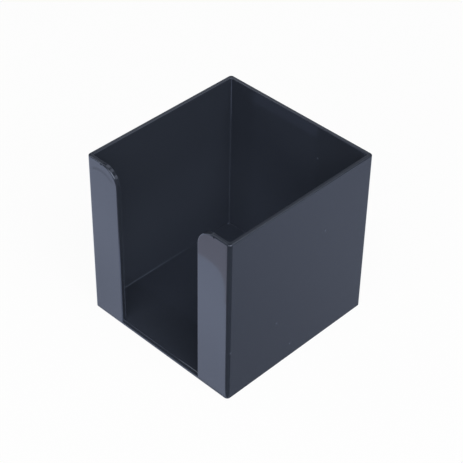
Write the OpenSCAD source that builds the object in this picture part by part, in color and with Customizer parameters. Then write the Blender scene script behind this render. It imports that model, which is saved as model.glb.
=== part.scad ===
// Open-topped box for loose note paper, moulded in one piece.
// The origin is the middle of the underside, +Z is up, and the front wall with its
// finger slot faces -Y.

/* [Outside] */
// Width over the two side walls
box_w = 90; // [80:1:120]
// Depth from the front face to the back face
box_d = 92; // [80:1:120]
// Height from the table to the rim
box_h = 91; // [60:1:120]
// Radius of the four upright outside corners
corner_r = 1.8; // [1.2:0.1:4]
// Radius round the outside edge of the rim and the shoulders
rim_r = 0.6; // [0.3:0.1:1]
// Radius round the edge of the foot
foot_r = 0.3; // [0.1:0.1:1]

/* [Inside] */
// Thickness of the walls at the rim
wall_t = 2.2; // [1.6:0.1:4]
// Thickness of the floor
floor_t = 2; // [1.2:0.1:4]
// How far each inside face leans in from the rim to the floor, to leave the mould's core
draft_in = 0.2; // [0.05:0.05:0.6]
// Radius of the upright inside corners, at the floor
inside_r = 0.6; // [0.5:0.1:3]
// Radius in the corner between the walls and the floor
floor_r = 0.25; // [0.1:0.05:0.4]
// Radius along the inside edge of the rim
lip_r = 0.4; // [0.2:0.1:0.8]

/* [Finger slot] */
// Width of the slot that lets a finger push the paper up
slot_w = 51; // [20:1:62]
// Radius of the shoulders, where the slot's sides turn out into the rim
shoulder_r = 9; // [3:0.5:12]
// How far the shoulders' crown lies under the rim, a step left by the slot's mould insert
shoulder_drop = 0.3; // [0.1:0.1:1]
// Radius along the floor's front edge, which lets a sheet slide out of the slot
sill_r = 1.6; // [0.4:0.1:1.6]

/* [Hidden] */
$fn = 96;
// What a cutter reaches past the face that it cuts
over = 1;
front_y = -box_d / 2;
shoulder_z = box_h - shoulder_drop - shoulder_r;
shoulder_x = slot_w / 2 + shoulder_r;
sill_foot = floor_t - sill_r;

// A quarter of a disc, in the corner where x and y are positive.
module quarter_disc(r) {
  intersection() {
    circle(r);
    square(r);
  }
}

// What rounding takes off an outside edge: the edge is at the origin, and the solid
// is on the side where x and y are negative.
module edge_waste(r) {
  translate([-r, -r]) difference() {
    square(r + over);
    circle(r);
  }
}

// Half of the outside's upright section, from the middle out to the reach.
module outside_section(reach) {
  difference() {
    square([reach, box_h]);
    translate([reach, box_h]) edge_waste(rim_r);
    translate([reach, 0]) mirror([0, 1]) edge_waste(foot_r);
  }
}

// Half of the hollow's upright section. The reach is taken at the rim: the wall leans
// in by the draft on its way down, and the mouth flares by the radius of the lip.
module hollow_section(reach) {
  foot = reach - draft_in;
  lip_z = box_h - lip_r;
  fillet_z = floor_t + floor_r;
  polygon([[0, fillet_z], [foot, fillet_z], [reach, lip_z], [0, lip_z]]);
  translate([0, floor_t]) square([foot - floor_r, floor_r]);
  translate([foot - floor_r, fillet_z]) mirror([0, 1]) quarter_disc(floor_r);
  translate([0, lip_z]) difference() {
    square([reach + lip_r, lip_r + over]);
    translate([reach + lip_r, 0]) mirror([1, 0]) quarter_disc(lip_r);
  }
}

// Sweeps a section round a rectangle with rounded corners: the first child is the
// section through the two sides, the second through front and back, the third through
// a corner, from the corner's axis.
module four_walls(w, d, r) {
  for (side = [0, 1]) mirror([side, 0, 0]) rotate([90, 0, 0])
    linear_extrude(d - 2 * r, center = true) children(0);
  for (side = [0, 1]) mirror([0, side, 0]) rotate([90, 0, 90])
    linear_extrude(w - 2 * r, center = true) children(1);
  for (x = [-1, 1], y = [-1, 1])
    translate([x * (w / 2 - r), y * (d / 2 - r), 0]) rotate_extrude() children(2);
}

module outside() {
  four_walls(box_w, box_d, corner_r) {
    outside_section(box_w / 2);
    outside_section(box_d / 2);
    outside_section(corner_r);
  }
}

module hollow() {
  w = box_w - 2 * wall_t;
  d = box_d - 2 * wall_t;
  mouth_r = inside_r + draft_in;
  four_walls(w, d, mouth_r) {
    hollow_section(w / 2);
    hollow_section(d / 2);
    hollow_section(mouth_r);
  }
}

// The slot as seen from the front: straight sides that turn out over two shoulders.
module slot_outline() {
  translate([-slot_w / 2, floor_t]) square([slot_w, box_h]);
  for (side = [0, 1]) mirror([side, 0]) translate([slot_w / 2, shoulder_z])
    difference() {
      square([shoulder_r, box_h - shoulder_z + over]);
      translate([shoulder_r, 0]) circle(shoulder_r);
    }
}

// Cuts the slot through the front wall and rounds its outside edge all the way, down
// over the shoulders and the sides and along the sill.
module finger_slot() {
  translate([0, front_y + wall_t + over, 0]) rotate([90, 0, 0])
    linear_extrude(wall_t + 2 * over) slot_outline();
  for (side = [0, 1]) mirror([side, 0, 0]) {
    translate([slot_w / 2, front_y, sill_foot]) rotate([0, 0, 180])
      linear_extrude(shoulder_z - sill_foot) edge_waste(rim_r);
    translate([shoulder_x, front_y, shoulder_z]) rotate([90, 0, 0])
      rotate_extrude(angle = 90, start = 90)
        translate([shoulder_r, 0]) edge_waste(rim_r);
  }
  translate([-slot_w / 2, front_y, floor_t]) rotate([90, 0, 90])
    linear_extrude(slot_w) mirror([1, 0]) edge_waste(sill_r);
}

module note_box() {
  color("#22252c") difference() {
    outside();
    hollow();
    finger_slot();
  }
}

note_box();
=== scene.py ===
import math

import bpy
from mathutils import Matrix, Vector


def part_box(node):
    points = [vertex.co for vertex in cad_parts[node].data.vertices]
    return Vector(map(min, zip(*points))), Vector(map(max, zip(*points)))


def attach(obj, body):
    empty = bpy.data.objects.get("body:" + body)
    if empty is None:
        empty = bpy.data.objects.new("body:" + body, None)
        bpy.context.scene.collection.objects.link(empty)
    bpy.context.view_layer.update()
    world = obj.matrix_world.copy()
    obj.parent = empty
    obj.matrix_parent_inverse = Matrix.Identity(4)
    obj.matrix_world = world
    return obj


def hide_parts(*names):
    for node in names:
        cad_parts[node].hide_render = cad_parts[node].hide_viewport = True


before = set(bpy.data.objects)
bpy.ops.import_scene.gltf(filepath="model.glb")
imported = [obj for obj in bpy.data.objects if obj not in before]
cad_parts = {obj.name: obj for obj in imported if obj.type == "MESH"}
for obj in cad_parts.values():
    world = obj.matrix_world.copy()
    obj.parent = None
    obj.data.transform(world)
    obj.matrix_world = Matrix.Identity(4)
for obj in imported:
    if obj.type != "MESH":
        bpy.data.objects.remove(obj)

bl_info = {
    "name": "Note box",
    "version": (1, 0, 0),
    "blender": (4, 5, 0),
    "location": "View3D > Sidebar > Note box",
    "description": "Makes a moulded plastic box for loose note paper, and a small studio round it",
    "category": "Add Mesh",
}

MM = 0.001
NODE = "note_box"
PIECE = "note_box_moulding"
LOW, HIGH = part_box(NODE)
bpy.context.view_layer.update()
# Too little to see: what counts as touching the floor, and how far the table lies under the box
NEAR = 0.02 * MM


def own_props(group):
    """The properties that a property group adds to those that every group has."""
    return [prop for prop in group.bl_rna.properties if prop.identifier not in ("rna_type", "name")]


# Node trees


class Term:
    """A node's output socket, on which plain arithmetic adds Math nodes."""

    def __init__(self, graph, socket):
        self.graph = graph
        self.socket = socket

    def __add__(self, other):
        return self.graph.maths("ADD", self, other)

    def __radd__(self, other):
        return self.graph.maths("ADD", other, self)

    def __sub__(self, other):
        return self.graph.maths("SUBTRACT", self, other)

    def __rsub__(self, other):
        return self.graph.maths("SUBTRACT", other, self)

    def __mul__(self, other):
        return self.graph.maths("MULTIPLY", self, other)

    def __rmul__(self, other):
        return self.graph.maths("MULTIPLY", other, self)

    def __truediv__(self, other):
        return self.graph.maths("DIVIDE", self, other)

    def __rtruediv__(self, other):
        return self.graph.maths("DIVIDE", other, self)

    def __pow__(self, other):
        return self.graph.maths("POWER", self, other)

    def __rpow__(self, other):
        return self.graph.maths("POWER", other, self)

    def __neg__(self):
        return self.graph.maths("MULTIPLY", self, -1.0)

    def __abs__(self):
        return self.graph.maths("ABSOLUTE", self)

    def __lt__(self, other):
        return self.graph.maths("LESS_THAN", self, other)

    def __gt__(self, other):
        return self.graph.maths("GREATER_THAN", self, other)


class Graph:
    """A node tree in the making."""

    def __init__(self, tree):
        self.tree = tree
        self.tree.nodes.clear()

    def add(self, kind, settings=None, values=None, output=0):
        """Adds a node: its settings first, then a value, a link or a list of links for each socket."""
        node = self.tree.nodes.new(kind)
        for name, value in (settings or {}).items():
            setattr(node, name, value)
        for name, value in (values or {}).items():
            socket = node.inputs[name]
            for one in value if isinstance(value, list) else [value]:
                if isinstance(one, Term):
                    self.tree.links.new(one.socket, socket)
                else:
                    socket.default_value = one
        if not node.outputs:
            return node
        return Term(self, node.outputs[output])

    def other(self, term, name):
        """Another output of the node that a term comes from."""
        return Term(self, term.socket.node.outputs[name])

    def maths(self, operation, *values):
        return self.add("ShaderNodeMath", {"operation": operation}, dict(enumerate(values)))

    def vector(self, operation, *values, output=0):
        return self.add("ShaderNodeVectorMath", {"operation": operation}, dict(enumerate(values)), output)

    def clamped(self, value, low, high):
        return self.add("ShaderNodeClamp", None, {"Value": value, "Min": low, "Max": high})

    def smooth_step(self, value, start, end):
        """0 at the start and 1 at the end, with a soft turn at both."""
        return self.add(
            "ShaderNodeMapRange",
            {"interpolation_type": "SMOOTHSTEP"},
            {"Value": value, "From Min": start, "From Max": end},
        )

    def scaled(self, vector, factor):
        return self.add("ShaderNodeVectorMath", {"operation": "SCALE"}, {0: vector, "Scale": factor})

    def combine(self, x, y, z=0.0):
        return self.add("ShaderNodeCombineXYZ", None, {"X": x, "Y": y, "Z": z})

    def separate(self, vector):
        x = self.add("ShaderNodeSeparateXYZ", None, {0: vector})
        return x, self.other(x, "Y"), self.other(x, "Z")


# The moulding


class MouldingSizes(bpy.types.PropertyGroup):
    """The sizes of the moulding."""

    width: bpy.props.FloatProperty(
        name="Width",
        description="Over the two side walls",
        default=HIGH[0] - LOW[0],
        unit="LENGTH",
    )
    depth: bpy.props.FloatProperty(
        name="Depth",
        description="From the front face to the back face",
        default=HIGH[1] - LOW[1],
        unit="LENGTH",
    )
    height: bpy.props.FloatProperty(
        name="Height",
        description="From the table to the rim",
        default=HIGH[2] - LOW[2],
        unit="LENGTH",
    )
    corner_radius: bpy.props.FloatProperty(
        name="Corner radius",
        description="Of the upright outside corners",
        default=1.8 * MM,
        unit="LENGTH",
    )
    wall: bpy.props.FloatProperty(
        name="Wall",
        description="Thickness of the walls at the rim",
        default=2.2 * MM,
        unit="LENGTH",
    )
    floor: bpy.props.FloatProperty(
        name="Floor",
        description="Thickness of the floor",
        default=2.0 * MM,
        unit="LENGTH",
    )
    draft: bpy.props.FloatProperty(
        name="Draft",
        description="How far each inside face leans in by the floor",
        default=0.2 * MM,
        unit="LENGTH",
    )
    inside_radius: bpy.props.FloatProperty(
        name="Inside radius",
        description="Of the upright inside corners",
        default=0.6 * MM,
        unit="LENGTH",
    )
    slot_width: bpy.props.FloatProperty(
        name="Slot width",
        description="Of the finger slot in the front wall",
        default=51.0 * MM,
        unit="LENGTH",
    )
    shoulder_radius: bpy.props.FloatProperty(
        name="Shoulder radius",
        description="Where the slot turns out into the rim",
        default=9.0 * MM,
        unit="LENGTH",
    )
    shoulder_drop: bpy.props.FloatProperty(
        name="Shoulder drop",
        description="Of the shoulders' crown under the rim",
        default=0.3 * MM,
        unit="LENGTH",
    )
    rim_radius: bpy.props.FloatProperty(
        name="Rim edge",
        description="Rounding of the rim's and the slot's outside edge",
        default=0.6 * MM,
        unit="LENGTH",
    )
    lip_radius: bpy.props.FloatProperty(
        name="Lip edge",
        description="Rounding of the rim's inside edge",
        default=0.4 * MM,
        unit="LENGTH",
    )
    sill_radius: bpy.props.FloatProperty(
        name="Sill edge",
        description="Rounding of the floor's front edge",
        default=1.6 * MM,
        unit="LENGTH",
    )
    foot_radius: bpy.props.FloatProperty(
        name="Foot edge",
        description="Rounding round the underside",
        default=0.3 * MM,
        unit="LENGTH",
    )
    floor_radius: bpy.props.FloatProperty(
        name="Floor corner",
        description="Rounding between the walls and the floor",
        default=0.25 * MM,
        unit="LENGTH",
    )


# What a cutter reaches past the face that it cuts
OVER = 1.0 * MM
# Steps through a quarter turn: of an upright corner, of a rounded edge and of a shoulder
CORNER_STEPS = 12
EDGE_STEPS = 8
SHOULDER_STEPS = 40
# Steps that the slot's cutter takes through the rounded sill
SILL_STEPS = 16
QUARTER_TURN = math.pi / 2.0
# Faces that meet more steeply than this keep a sharp edge
STEEP = math.radians(25.0)
# Points of a skin that lie closer together than this become one
MERGE = 0.001 * MM
# The rods that leave the nicks: how far past the shoulder and under the rim's rounded edge they lie,
# and their size. Their middles are in the front face, so half of their length cuts.
NICK_ASIDE = 1.0 * MM
NICK_UNDER = 0.1 * MM
NICK_RADIUS = 0.45 * MM
NICK_LENGTH = 0.7 * MM
NICK_SIDES = 16


def chosen(graph, index, vectors):
    """The vector with the given number."""
    switch = graph.tree.nodes.new("GeometryNodeIndexSwitch")
    switch.data_type = "VECTOR"
    while len(switch.index_switch_items) < len(vectors):
        switch.index_switch_items.new()
    graph.tree.links.new(index.socket, switch.inputs["Index"])
    for number, vector in enumerate(vectors):
        graph.tree.links.new(vector.socket, switch.inputs[number + 1])
    return Term(graph, switch.outputs[0])


def swept(graph, path, outline):
    """A closed skin on an outline that is carried along a path."""
    skin = graph.add(
        "GeometryNodeCurveToMesh", None, {"Curve": path, "Profile Curve": outline, "Fill Caps": True}
    )
    return graph.add("GeometryNodeMergeByDistance", None, {"Geometry": skin, "Distance": MERGE})


def point_line(graph, count, position):
    """A line of straight pieces through as many points as are counted."""
    points = graph.add("GeometryNodePoints", None, {"Count": count, "Position": position})
    return graph.add("GeometryNodePointsToCurves", None, {"Points": points})


def walls_and_floor(graph, size):
    """The box without its slot, as one skin.

    The skin is a stack of rings. They go up the outside, over the rim and down the inside, and
    crowd together where the section has its four rounded edges. Each ring is a rounded rectangle.
    """
    around, along = CORNER_STEPS + 1, EDGE_STEPS + 1
    index = graph.add("GeometryNodeInputIndex")
    stack = point_line(graph, 4 * along, graph.combine(0.0, 0.0, index))
    ring = graph.add("GeometryNodeCurvePrimitiveCircle", None, {"Resolution": 4 * around, "Radius": 1.0})
    skin = swept(graph, stack, ring)

    # Where in the section the point lies: its depth under the outside face, and its height
    level = graph.maths("FLOOR", index / (4.0 * around))
    edge = graph.maths("FLOOR", level / along)
    turn = (level - edge * along) / EDGE_STEPS * QUARTER_TURN
    fast, slow = 1.0 - graph.maths("SINE", turn), 1.0 - graph.maths("COSINE", turn)
    height, wall, face = size["Height"], size["Wall"], size["Wall"] + size["Draft"]
    outer, inner = size["Corner radius"], face + size["Inside radius"]
    foot, rim, lip, corner_of_floor = (
        size[name] for name in ("Foot edge", "Rim edge", "Lip edge", "Floor corner")
    )
    section = chosen(
        graph,
        edge,
        [
            graph.combine(foot * fast, foot * slow, outer),
            graph.combine(rim * slow, height - rim * fast, outer),
            graph.combine(wall - lip * fast, height - lip * slow, inner),
            graph.combine(face + corner_of_floor * slow, size["Floor"] + corner_of_floor * fast, inner),
        ],
    )
    depth, z, radius = graph.separate(section)

    # Where round the ring it lies: the corner, and the direction from the corner's axis
    place = graph.maths("MODULO", index, 4.0 * around)
    corner = graph.maths("FLOOR", place / around)
    direction = (corner + (place - corner * around) / CORNER_STEPS) * QUARTER_TURN
    middle = (corner + 0.5) * QUARTER_TURN
    x = graph.maths("SIGN", graph.maths("COSINE", middle)) * (size["Width"] * 0.5 - radius)
    y = graph.maths("SIGN", graph.maths("SINE", middle)) * (size["Depth"] * 0.5 - radius)
    x = x + graph.maths("COSINE", direction) * (radius - depth)
    y = y + graph.maths("SINE", direction) * (radius - depth)
    return graph.add("GeometryNodeSetPosition", None, {"Geometry": skin, "Position": graph.combine(x, y, z)})


def slot_outline(graph, size):
    """The slot seen from the front: straight sides that turn out over two shoulders."""
    side = size["Slot width"] * 0.5
    out = side + size["Shoulder radius"]
    crown = size["Height"] - size["Shoulder drop"]
    top, floor = size["Height"] + OVER, size["Floor"]
    corners = [
        (-out, top),
        (-out, crown),
        (-side, crown),
        (-side, floor),
        (side, floor),
        (side, crown),
        (out, crown),
        (out, top),
    ]
    index = graph.add("GeometryNodeInputIndex")
    line = point_line(graph, len(corners), chosen(graph, index, [graph.combine(x, z) for x, z in corners]))
    ring = graph.add("GeometryNodeSetSplineCyclic", None, {"Geometry": line, "Cyclic": True})

    # Of the eight corners only the two between a side and a crown, numbers 2 and 5, are rounded
    shoulder = abs(abs(index - 3.5) - 1.5) < 0.5
    return graph.add(
        "GeometryNodeFilletCurve",
        {"mode": "POLY"},
        {"Curve": ring, "Count": SHOULDER_STEPS, "Radius": shoulder * size["Shoulder radius"]},
    )


def slot_cutter(graph, size):
    """A solid in the shape of the finger slot, flared at the front so that it leaves rounded edges."""
    front = size["Wall"] + OVER

    # The cutter starts behind the wall, takes its steps through the sill and ends out in front
    index = graph.add("GeometryNodeInputIndex")
    turn = graph.clamped((index - 1.0) / SILL_STEPS, 0.0, 1.0) * QUARTER_TURN
    depth = front - size["Sill edge"] * (1.0 - graph.maths("SINE", turn))
    ends = (index > SILL_STEPS + 1.5) * OVER - (index < 0.5) * (front - size["Sill edge"])
    stops = point_line(graph, SILL_STEPS + 3, graph.combine(0.0, 0.0, depth + ends))
    cutter = swept(graph, stops, slot_outline(graph, size))

    x, y, z = graph.separate(graph.add("GeometryNodeInputPosition"))

    def flare(radius):
        deep = graph.clamped(z - front + radius, 0.0, radius)
        return radius - graph.maths("SQRT", radius * radius - deep * deep)

    # The sides flare into the panels, on the shoulders towards their axes, and the foot flares down
    aside = size["Slot width"] * 0.5 + size["Shoulder radius"] - abs(x)
    foot_of_shoulder = size["Height"] - size["Shoulder drop"] - size["Shoulder radius"]
    over_shoulder = graph.maths("MAXIMUM", y - foot_of_shoulder, 0.0)
    away = graph.vector("NORMALIZE", graph.combine(aside, -over_shoulder))
    away = graph.vector("MULTIPLY", away, graph.combine(graph.maths("SIGN", x), 1.0))
    outwards = graph.scaled(away, flare(size["Rim edge"]))
    down = graph.combine(0.0, -(y < size["Floor"] + NEAR) * flare(size["Sill edge"]))
    flared = graph.add(
        "GeometryNodeSetPosition", None, {"Geometry": cutter, "Offset": graph.vector("ADD", outwards, down)}
    )
    return graph.add(
        "GeometryNodeTransform",
        None,
        {
            "Geometry": flared,
            "Translation": graph.combine(0.0, size["Depth"] * -0.5 + front, 0.0),
            "Rotation": (QUARTER_TURN, 0.0, 0.0),
        },
    )


def nick_cutters(graph, size):
    """Two small rods that leave a nick in the front's upper edge, beside each shoulder."""
    side = graph.add("GeometryNodeInputIndex") * 2.0 - 1.0
    out = size["Slot width"] * 0.5 + size["Shoulder radius"] + NICK_ASIDE
    place = graph.combine(side * out, size["Depth"] * -0.5, size["Height"] - size["Rim edge"] - NICK_UNDER)
    points = graph.add("GeometryNodePoints", None, {"Count": 2, "Position": place})
    rod = graph.add(
        "GeometryNodeMeshCylinder",
        None,
        {"Vertices": NICK_SIDES, "Radius": NICK_RADIUS, "Depth": NICK_LENGTH},
    )
    nicks = graph.add(
        "GeometryNodeInstanceOnPoints",
        None,
        {"Points": points, "Instance": rod, "Rotation": (QUARTER_TURN, 0.0, 0.0)},
    )
    return graph.add("GeometryNodeRealizeInstances", None, {"Geometry": nicks})


def moulding_tree(sizes):
    """Geometry Nodes that make the whole moulding, with a named input for each size."""
    tree = bpy.data.node_groups.new("Note box moulding", "GeometryNodeTree")
    graph = Graph(tree)
    tree.interface.new_socket("Geometry", in_out="OUTPUT", socket_type="NodeSocketGeometry")
    for name in sizes:
        socket = tree.interface.new_socket(name, in_out="INPUT", socket_type="NodeSocketFloat")
        socket.subtype = "DISTANCE"
    tree.interface.new_socket("Material", in_out="INPUT", socket_type="NodeSocketMaterial")
    inputs = tree.nodes.new("NodeGroupInput")
    size = {socket.name: Term(graph, socket) for socket in inputs.outputs if socket.name}

    box = walls_and_floor(graph, size)
    cutters = [slot_cutter(graph, size), nick_cutters(graph, size)]
    cut = graph.add(
        "GeometryNodeMeshBoolean",
        {"operation": "DIFFERENCE", "solver": "EXACT"},
        {"Mesh 1": box, "Mesh 2": cutters},
    )
    smooth = graph.add("GeometryNodeSetShadeSmooth", {"domain": "FACE"}, {0: cut, "Shade Smooth": True})
    steep = graph.add("GeometryNodeInputMeshEdgeAngle") > STEEP
    creased = graph.add(
        "GeometryNodeSetShadeSmooth",
        {"domain": "EDGE"},
        {0: smooth, "Selection": steep, "Shade Smooth": False},
    )
    real = graph.add("GeometryNodeRealizeInstances", None, {"Geometry": creased})
    painted = graph.add("GeometryNodeSetMaterial", None, {"Geometry": real, "Material": size["Material"]})
    graph.add("NodeGroupOutput", None, {"Geometry": painted})
    return tree


def plain_mesh(maker, name):
    """The maker's evaluated result as a plain mesh object; the maker goes."""
    bpy.context.view_layer.update()
    evaluated = maker.evaluated_get(bpy.context.evaluated_depsgraph_get())
    mesh = bpy.data.meshes.new_from_object(evaluated)
    mesh.name = name
    piece = bpy.data.objects.new(name, mesh)
    bpy.context.collection.objects.link(piece)
    bpy.data.objects.remove(maker)
    return piece


class NOTEBOX_OT_moulding(bpy.types.Operator):
    """Makes the moulding by Geometry Nodes, in place of the CAD node"""

    bl_idname = "notebox.moulding"
    bl_label = "Make the moulding"

    def execute(self, context):
        group = context.scene.notebox_sizes
        sizes = {prop.name: getattr(group, prop.identifier) for prop in own_props(group)}
        tree = moulding_tree(sizes)
        maker = bpy.data.objects.new("moulding_maker", bpy.data.meshes.new("moulding_maker"))
        context.collection.objects.link(maker)
        nodes = maker.modifiers.new("Moulding", "NODES")
        nodes.node_group = tree
        values = {**sizes, "Material": plastic_material(context.scene.notebox_plastic, group)}
        for item in tree.interface.items_tree:
            if item.in_out == "INPUT":
                nodes[item.identifier] = values[item.name]
        normals = maker.modifiers.new("Keep the faces flat", "WEIGHTED_NORMAL")
        normals.keep_sharp = True
        piece = plain_mesh(maker, PIECE)
        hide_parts(NODE)
        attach(piece, "root")
        return {"FINISHED"}


# The plastic


class PlasticFinish(bpy.types.PropertyGroup):
    """The look of the plastic."""

    colour: bpy.props.FloatVectorProperty(
        name="Colour",
        description="Bluish black of the plastic",
        default=(0.026, 0.031, 0.043),
        subtype="COLOR",
        size=3,
    )
    tint: bpy.props.FloatVectorProperty(
        name="Tint",
        description="Of what the gloss reflects",
        default=(0.70, 0.78, 1.0, 1.0),
        subtype="COLOR",
        size=4,
    )
    roughness: bpy.props.FloatProperty(
        name="Roughness",
        description="Of the polished faces",
        default=0.05,
        min=0.0,
        max=1.0,
        subtype="FACTOR",
    )
    # Painted fill light: how much paler all of the inside is drawn, for light that the lamps don't give
    painted_inside_lift: bpy.props.FloatProperty(
        name="Haze",
        description="How much paler a thin film of dust makes all of the inside",
        default=0.20,
    )
    # Painted fill light: how much paler the lower part of the inside walls is drawn, in their shade
    painted_lift: bpy.props.FloatProperty(
        name="Film",
        description="How much paler a thicker film makes the lower part of the inside walls",
        default=0.8,
    )
    ripple: bpy.props.FloatProperty(
        name="Ripple",
        description="Depth of the slow waves in the walls",
        default=0.02 * MM,
        unit="LENGTH",
    )


# Places and sizes on the box are in millimetres from here on. A pair holds the values at which a mark
# is gone and is full.

# How near to a face counts as on it, and how far into the walls the inside reaches, to take in its lip
ON_FACE = 0.1
INTO_WALL = 0.3
# The painted fill light low on the inside walls: its heights, and the least height that has it
PAINTED_LIFT_HEIGHTS = (64.0, 10.0)
PAINTED_LIFT_FOOT = 2.3
# The painted highlight along the crease at the foot of the left wall: how far from the wall its middle lies,
# the height under which it lies, half its width, and its y
CREASE_ASIDE = 0.1
CREASE_TOP = 2.6
CREASE_WIDTH = (0.6, 0.3)
CREASE_Y = (25.0, -10.0)
# The smear on the left panel: the middle and the radius of the curve that it follows, half its width,
# its z, its x, and the wear of the gloss that lets it show
SMEAR_MIDDLE_X, SMEAR_MIDDLE_Z, SMEAR_RADIUS = -36.0, 76.0, 10.7
SMEAR_WIDTH = (1.2, 0.2)
SMEAR_Z = (82.8, 84.5)
SMEAR_X = (-43.0, -40.0)
SMEAR_WEAR = (0.2, 0.5)
# Where specks of dust lie on the box, their radius, and how much paler than the plastic they are
SPECKS = (
    (14.2, 43.7, 73.4),
    (45.0, 15.6, 64.2),
    (45.0, -14.7, 27.0),
    (45.0, -4.9, 7.8),
    (45.0, -44.4, 28.4),
    (-41.8, 42.5, 2.0),
)
SPECK_RADIUS = (0.8, 0.2)
SPECK_PALER = 1.6
# What the wear, the smear and the specks add to the roughness
WEAR_ROUGHER, SMEAR_ROUGHER, SPECK_ROUGHER = 0.03, 0.15, 0.2


def painted_inside_light(graph, finish, sizes, x, y, z):
    """How much paler painted light makes the inside: a fill, more low down, and a highlight in a crease."""
    across, back = HIGH[0] / MM - sizes.wall / MM, HIGH[1] / MM - sizes.wall / MM
    inside = (abs(x) < across + INTO_WALL) * (abs(y) < back + INTO_WALL)
    inside = inside * (z > sizes.floor / MM - ON_FACE)
    # Painted fill light that grows towards the foot of the inside walls
    low_down = (z > PAINTED_LIFT_FOOT) * graph.smooth_step(z, *PAINTED_LIFT_HEIGHTS)

    # A painted highlight in the crease between the left wall and the floor
    crease_x = across - sizes.draft / MM - CREASE_ASIDE
    painted_crease_highlight = graph.smooth_step(abs(x + crease_x), *CREASE_WIDTH) * (z < CREASE_TOP)
    painted_crease_highlight = painted_crease_highlight * graph.smooth_step(y, *CREASE_Y)
    return inside * (finish.painted_inside_lift + finish.painted_lift * low_down + painted_crease_highlight)


def plastic_material(finish, sizes):
    """Glossy plastic with slow waves, painted light inside, a smear and specks."""
    material = bpy.data.materials.new("glossy_black_plastic")
    material.use_nodes = True
    graph = Graph(material.node_tree)
    place = graph.add("ShaderNodeTexCoord", output="Object")
    waves = graph.add(
        "ShaderNodeTexNoise", None, {"Vector": place, "Scale": 28.0, "Detail": 1.5, "Roughness": 0.4}
    )
    wear = graph.add(
        "ShaderNodeTexNoise", None, {"Vector": place, "Scale": 90.0, "Detail": 6.0, "Roughness": 0.6}
    )
    bump = graph.add("ShaderNodeBump", None, {"Height": waves, "Strength": 1.0, "Distance": finish.ripple})
    place = graph.scaled(place, 1.0 / MM)
    x, y, z = graph.separate(place)

    # A dull smear follows the left shoulder, a few millimetres under its edge
    from_middle = graph.combine(x - SMEAR_MIDDLE_X, z - SMEAR_MIDDLE_Z)
    aside = abs(graph.vector("LENGTH", from_middle, output="Value") - SMEAR_RADIUS)
    smear = graph.smooth_step(aside, *SMEAR_WIDTH) * (y < LOW[1] / MM + ON_FACE)
    smear = smear * graph.smooth_step(z, *SMEAR_Z) * graph.smooth_step(x, *SMEAR_X)
    smear = smear * graph.smooth_step(wear, *SMEAR_WEAR)

    specks = 0.0
    for speck in SPECKS:
        away = graph.vector("DISTANCE", place, speck, output="Value")
        specks = specks + graph.smooth_step(away, *SPECK_RADIUS)

    # The painted light inside makes the colour paler; the smear makes it darker and the specks paler
    paler = (1.0 + painted_inside_light(graph, finish, sizes, x, y, z)) * (1.0 - smear) + SPECK_PALER * specks
    roughness = finish.roughness + (wear - 0.5) * WEAR_ROUGHER
    roughness = roughness + SMEAR_ROUGHER * smear + SPECK_ROUGHER * specks
    shader = graph.add(
        "ShaderNodeBsdfPrincipled",
        None,
        {
            "Base Color": graph.scaled(tuple(finish.colour), paler),
            "Roughness": roughness,
            "IOR": 1.7,
            "Specular Tint": tuple(finish.tint),
            "Normal": bump,
        },
    )
    graph.add("ShaderNodeOutputMaterial", None, {"Surface": shader})
    return material


# The studio


class StudioSetup(bpy.types.PropertyGroup):
    """The camera's place, turn and lens."""

    azimuth: bpy.props.FloatProperty(
        name="Azimuth",
        description="Of the camera round the box, from the front",
        default=math.radians(43.954),
        subtype="ANGLE",
    )
    elevation: bpy.props.FloatProperty(
        name="Elevation",
        description="Of the camera over the table",
        default=math.radians(39.628),
        subtype="ANGLE",
    )
    roll: bpy.props.FloatProperty(
        name="Roll",
        description="Of the camera about its line of sight",
        default=math.radians(1.029),
        subtype="ANGLE",
    )
    distance: bpy.props.FloatProperty(
        name="Distance",
        description="From the camera to its aim",
        default=0.6918,
        unit="LENGTH",
    )
    lens: bpy.props.FloatProperty(
        name="Lens",
        description="Focal length in mm on a sensor 36 mm wide",
        default=114.974,
        unit="CAMERA",
    )


# The place that the lamps face, and how far right and up of it the camera aims
MIDDLE = Vector((0.0, 0.0, 45.0 * MM))
AIM_RIGHT = 1.045 * MM
AIM_UP = 0.808 * MM
SENSOR_WIDTH = 36.0
WHITE = (1.0, 1.0, 1.0, 1.0)
SKY_STRENGTH = 0.012
# How far the table reaches each way, in metres, its colour where it is lit and takes the shadow, and
# how much of what the camera sees of it is plain white instead
TABLE_REACH = 10.0
TABLE_COLOUR = (0.8, 0.8, 0.8, 1.0)
WHITENESS = 0.95

# How far the lamps hang from the place that they face, in metres
LAMP_DISTANCE = 1.5
# Each lamp's name, azimuth and elevation in degrees, width and height in metres, and power in watts.
# Azimuth 0 is +X and 90 is +Y.
LAMPS = (
    ("front_softbox", 312.0, 47.0, 2.30, 1.40, 23.0),
    ("right_softbox", 0.0, 46.0, 0.80, 1.00, 9.0),
    ("left_softbox", 215.0, 25.0, 0.60, 0.35, 2.2),
    ("back_left_strip", 165.0, 54.0, 0.90, 0.25, 1.20),
    ("back_strip", 110.0, 56.0, 0.70, 0.32, 0.54),
    ("back_right_strip", 80.0, 55.0, 0.90, 0.30, 0.70),
    ("back_right_softbox", 36.0, 24.0, 0.25, 0.50, 0.34),
    ("far_rim_card", 134.0, 35.2, 0.50, 0.15, 0.10),
    ("near_rim_card", 134.0, 41.0, 0.50, 0.15, 0.035),
)


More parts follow.
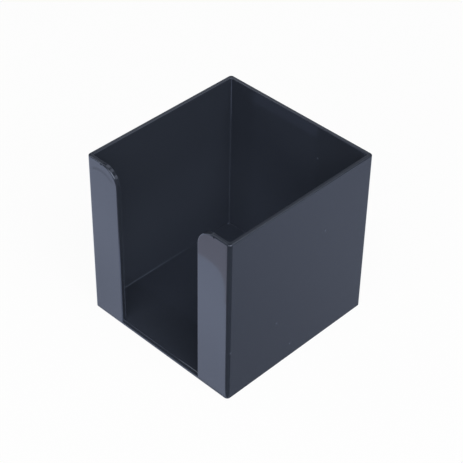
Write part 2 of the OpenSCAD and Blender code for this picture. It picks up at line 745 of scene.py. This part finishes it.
def place_camera(setup):
    """The camera at the photograph's angle."""
    across = math.cos(setup.elevation)
    back = Vector(
        (math.sin(setup.azimuth) * across, -math.cos(setup.azimuth) * across, math.sin(setup.elevation))
    )
    level = Vector((math.cos(setup.azimuth), math.sin(setup.azimuth), 0.0))
    right = Matrix.Rotation(setup.roll, 3, back) @ level
    up = back.cross(right)
    aim = MIDDLE + right * AIM_RIGHT + up * AIM_UP
    data = bpy.data.cameras.new("camera")
    data.lens = setup.lens
    data.sensor_width = SENSOR_WIDTH
    camera = bpy.data.objects.new("camera", data)
    turn = Matrix((right, up, back)).transposed().to_4x4()
    camera.matrix_world = Matrix.Translation(aim + back * setup.distance) @ turn
    bpy.context.collection.objects.link(camera)
    bpy.context.scene.camera = camera


def aim_at_box(azimuth, elevation):
    """A lamp's place as seen from the middle of the box, and the turn that faces it."""
    across = math.cos(elevation)
    away = Vector((math.cos(azimuth) * across, math.sin(azimuth) * across, math.sin(elevation)))
    turn = away.to_track_quat("Z", "Y").to_matrix().to_4x4()
    return Matrix.Translation(MIDDLE + away * LAMP_DISTANCE) @ turn


def hang_lamps():
    """The lamps, which all face the middle of the box."""
    for name, azimuth, elevation, width, height, power in LAMPS:
        data = bpy.data.lights.new(name, "AREA")
        data.shape = "RECTANGLE"
        data.size, data.size_y = width, height
        data.energy = power
        lamp = bpy.data.objects.new(name, data)
        lamp.matrix_world = aim_at_box(math.radians(azimuth), math.radians(elevation))
        bpy.context.collection.objects.link(lamp)


# Places on the table are in millimetres from here on. A slope holds what it adds to a tone, and the
# places where it starts and ends.

# The pool of light before the slotted wall: its tone, slopes and tint
POOL_TONE = 0.845
POOL_FORWARD = (0.215, 0.0, 45.0)
POOL_RIGHTWARD = (0.08, -70.0, -20.0)
POOL_TINT = (0.93, 1.0, 1.20)
# The pool's far edge: its y up to the x where its bend starts, the bend and how far that goes on, its
# softness, the x over which it fades in, and what it takes from the tone and adds to the tint
EDGE_Y, EDGE_START, EDGE_BEND, EDGE_RUN = -107.9, -30.0, 0.021, 28.0
EDGE_SOFTNESS = 0.8
EDGE_FADE = (-80.0, -50.0)
EDGE_DIMMER = 0.27
EDGE_TINT = (0.13, 0.03, -0.02)
# The half shade behind the box and beside it: its tone and slopes, and how softly it meets the pool
SHADE_TONE = 0.27
SHADE_BACKWARD = (0.19, -50.0, 120.0)
SHADE_LEFTWARD = (0.5, 20.0, -30.0)
SHADE_SOFTNESS = 2.0
# The dark on the camera's side: its direction, how much light is left in it, and how it ends
DARK_WAY = (0.707, -0.707, 0.0)
DARK_TONE = 0.03
DARK_END, DARK_POWER = 1.03, 3.0


def sloped(graph, value, slope):
    """What a slope adds at a place."""
    gain, start, end = slope
    return gain * graph.smooth_step(value, start, end)


def table_tone(graph):
    """The light that the gloss sees on the table.

    Before the slotted wall lies a pool of light with a curved far edge, past which it is dimmer and
    warmer. The table behind and to the right is in half shade, and the camera's side is dark.
    """
    x, y, _ = graph.separate(graph.add("ShaderNodeTexCoord", output="Object"))
    x, y = x / MM, y / MM
    right, front = HIGH[0] / MM, LOW[1] / MM

    pool = POOL_TONE + sloped(graph, front - y, POOL_FORWARD) + sloped(graph, x, POOL_RIGHTWARD)
    edge_y = EDGE_BEND * graph.clamped(x - EDGE_START, 0.0, EDGE_RUN) ** 2.0 + EDGE_Y
    past_edge = graph.smooth_step(edge_y - y, 0.0, EDGE_SOFTNESS) * graph.smooth_step(x, *EDGE_FADE)
    pool = pool * (1.0 - EDGE_DIMMER * past_edge)
    tint = graph.vector("ADD", POOL_TINT, graph.scaled(EDGE_TINT, past_edge))

    shade = SHADE_TONE + sloped(graph, y, SHADE_BACKWARD) + sloped(graph, x, SHADE_LEFTWARD)
    before = graph.smooth_step(y, front + SHADE_SOFTNESS, front - SHADE_SOFTNESS)
    tone = shade + (pool - shade) * before

    from_corner = graph.vector("NORMALIZE", graph.combine(x - right, y - front))
    to_camera = graph.vector("DOT_PRODUCT", from_corner, DARK_WAY, output="Value")
    lit = graph.clamped((1.0 - to_camera) / DARK_END, 0.0, 1.0) ** DARK_POWER
    return graph.scaled(tint, tone * (DARK_TONE + (1.0 - DARK_TONE) * lit))


def table_material():
    """Plain and pale for the camera, and with its tones for what the gloss reflects."""
    material = bpy.data.materials.new("pale_table")
    material.use_nodes = True
    graph = Graph(material.node_tree)
    seen_by_camera = graph.add("ShaderNodeLightPath", output="Is Camera Ray")
    seen_by_gloss = graph.other(seen_by_camera, "Is Glossy Ray")
    seen_through = graph.other(seen_by_camera, "Is Transmission Ray")
    lit = graph.add("ShaderNodeBsdfDiffuse", None, {"Color": TABLE_COLOUR})
    white = graph.add("ShaderNodeEmission", None, {"Color": WHITE, "Strength": 1.0})
    plain = graph.add("ShaderNodeMixShader", None, {0: seen_by_camera * WHITENESS, 1: lit, 2: white})
    tone = graph.add("ShaderNodeEmission", None, {"Color": table_tone(graph), "Strength": 1.0})
    mix = graph.add("ShaderNodeMixShader", None, {0: seen_by_gloss + seen_through, 1: plain, 2: tone})
    graph.add("ShaderNodeOutputMaterial", None, {"Surface": mix})
    return material


def lay_table():
    """A wide table just under the box."""
    mesh = bpy.data.meshes.new("table")
    ways = ((-1.0, -1.0), (1.0, -1.0), (1.0, 1.0), (-1.0, 1.0))
    corners = [(x * TABLE_REACH, y * TABLE_REACH, -NEAR) for x, y in ways]
    mesh.from_pydata(corners, [], [(0, 1, 2, 3)])
    mesh.materials.append(table_material())
    table = bpy.data.objects.new("table", mesh)
    bpy.context.collection.objects.link(table)


def dim_sky():
    """A plain world that is nearly dark."""
    world = bpy.data.worlds.new("studio")
    world.use_nodes = True
    graph = Graph(world.node_tree)
    sky = graph.add("ShaderNodeBackground", None, {"Color": WHITE, "Strength": SKY_STRENGTH})
    graph.add("ShaderNodeOutputWorld", None, {"Surface": sky})
    return world


class NOTEBOX_OT_studio(bpy.types.Operator):
    """Sets up the table, the lights and the camera"""

    bl_idname = "notebox.studio"
    bl_label = "Set up the studio"

    def execute(self, context):
        place_camera(context.scene.notebox_studio)
        lay_table()
        hang_lamps()
        context.scene.world = dim_sky()
        context.scene.view_settings.view_transform = "Standard"
        return {"FINISHED"}


# The panel


class NOTEBOX_PT_panel(bpy.types.Panel):
    """The note box's sizes, finish and studio"""

    bl_idname = "NOTEBOX_PT_panel"
    bl_label = "Note box"
    bl_space_type = "VIEW_3D"
    bl_region_type = "UI"
    bl_category = "Note box"

    def draw(self, context):
        scene = context.scene
        for group, operator in (
            (scene.notebox_sizes, None),
            (scene.notebox_plastic, "notebox.moulding"),
            (scene.notebox_studio, "notebox.studio"),
        ):
            box = self.layout.box()
            for prop in own_props(group):
                box.prop(group, prop.identifier)
            if operator:
                box.operator(operator)


CLASSES = (
    MouldingSizes,
    PlasticFinish,
    StudioSetup,
    NOTEBOX_OT_moulding,
    NOTEBOX_OT_studio,
    NOTEBOX_PT_panel,
)


def register():
    for cls in CLASSES:
        bpy.utils.register_class(cls)
    bpy.types.Scene.notebox_sizes = bpy.props.PointerProperty(type=MouldingSizes)
    bpy.types.Scene.notebox_plastic = bpy.props.PointerProperty(type=PlasticFinish)
    bpy.types.Scene.notebox_studio = bpy.props.PointerProperty(type=StudioSetup)


def unregister():
    del bpy.types.Scene.notebox_studio
    del bpy.types.Scene.notebox_plastic
    del bpy.types.Scene.notebox_sizes
    for cls in reversed(CLASSES):
        bpy.utils.unregister_class(cls)


def main():
    register()
    bpy.ops.notebox.moulding()
    bpy.ops.notebox.studio()


if __name__ == "__main__":
    main()
